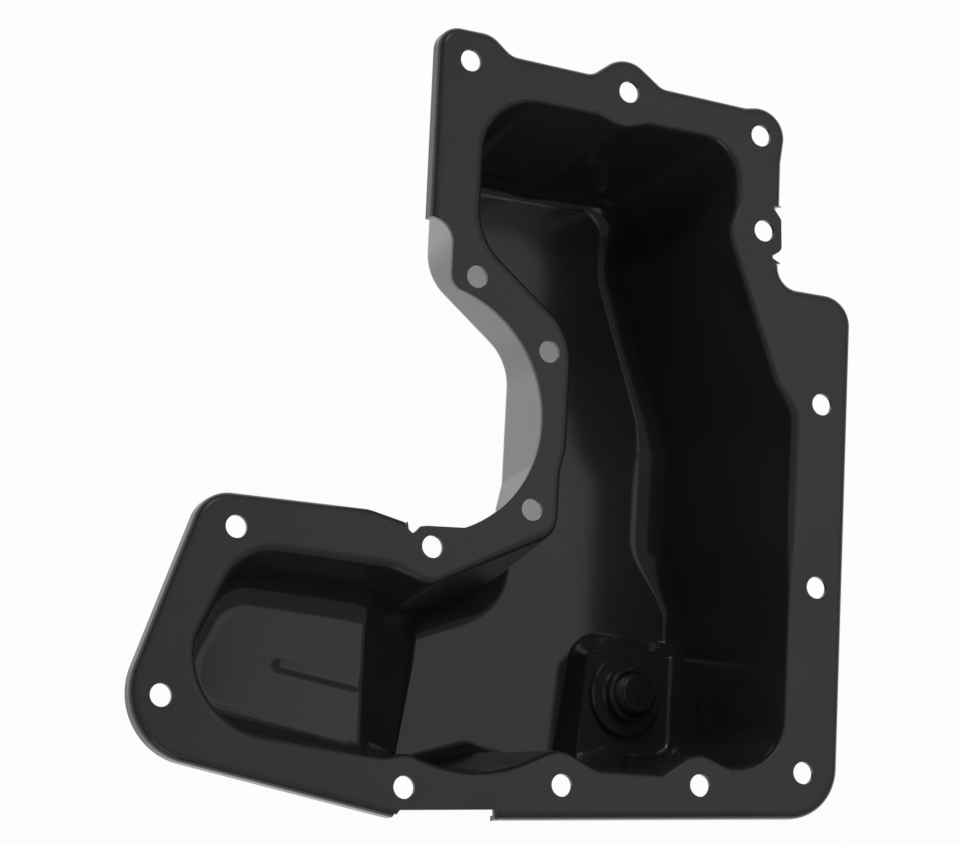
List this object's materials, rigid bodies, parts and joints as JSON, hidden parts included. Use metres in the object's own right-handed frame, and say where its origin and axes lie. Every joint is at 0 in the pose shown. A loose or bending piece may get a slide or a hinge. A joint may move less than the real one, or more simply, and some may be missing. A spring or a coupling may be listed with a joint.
{
  "type": "engine oil pan",
  "caption": "Pressed steel lower oil pan with a deep sump, a shallow side arm, a bolt flange around a round bay, and a drain plug in a sloping recess.",
  "frame": {"origin": "centre of the round bay in the flange, on the mating face", "axes": "+Z out of the opening, square to the mating face; +Y along the long right edge, towards the end that carries the narrow top of the sump; +X away from the bay towards the long right edge"},
  "size_m": [0.2352, 0.2481, 0.0775],
  "materials": {
    "black_paint": "smooth black electrocoat, satin on the flange and glossier inside",
    "plug_steel": "dark phosphate on turned steel",
    "washer_metal": "plain soft aluminium"
  },
  "bodies": {
    "pan": {"pan_shell": "black_paint", "drain_nut": "black_paint"},
    "plug": {"drain_plug": "plug_steel", "plug_washer": "washer_metal"}
  },
  "joints": [
    {"name": "plug_slide", "type": "slide", "parent": "pan", "child": "plug", "axis": [-0.1908, 0, -0.9816], "range_m": [0, 0.03]}
  ]
}
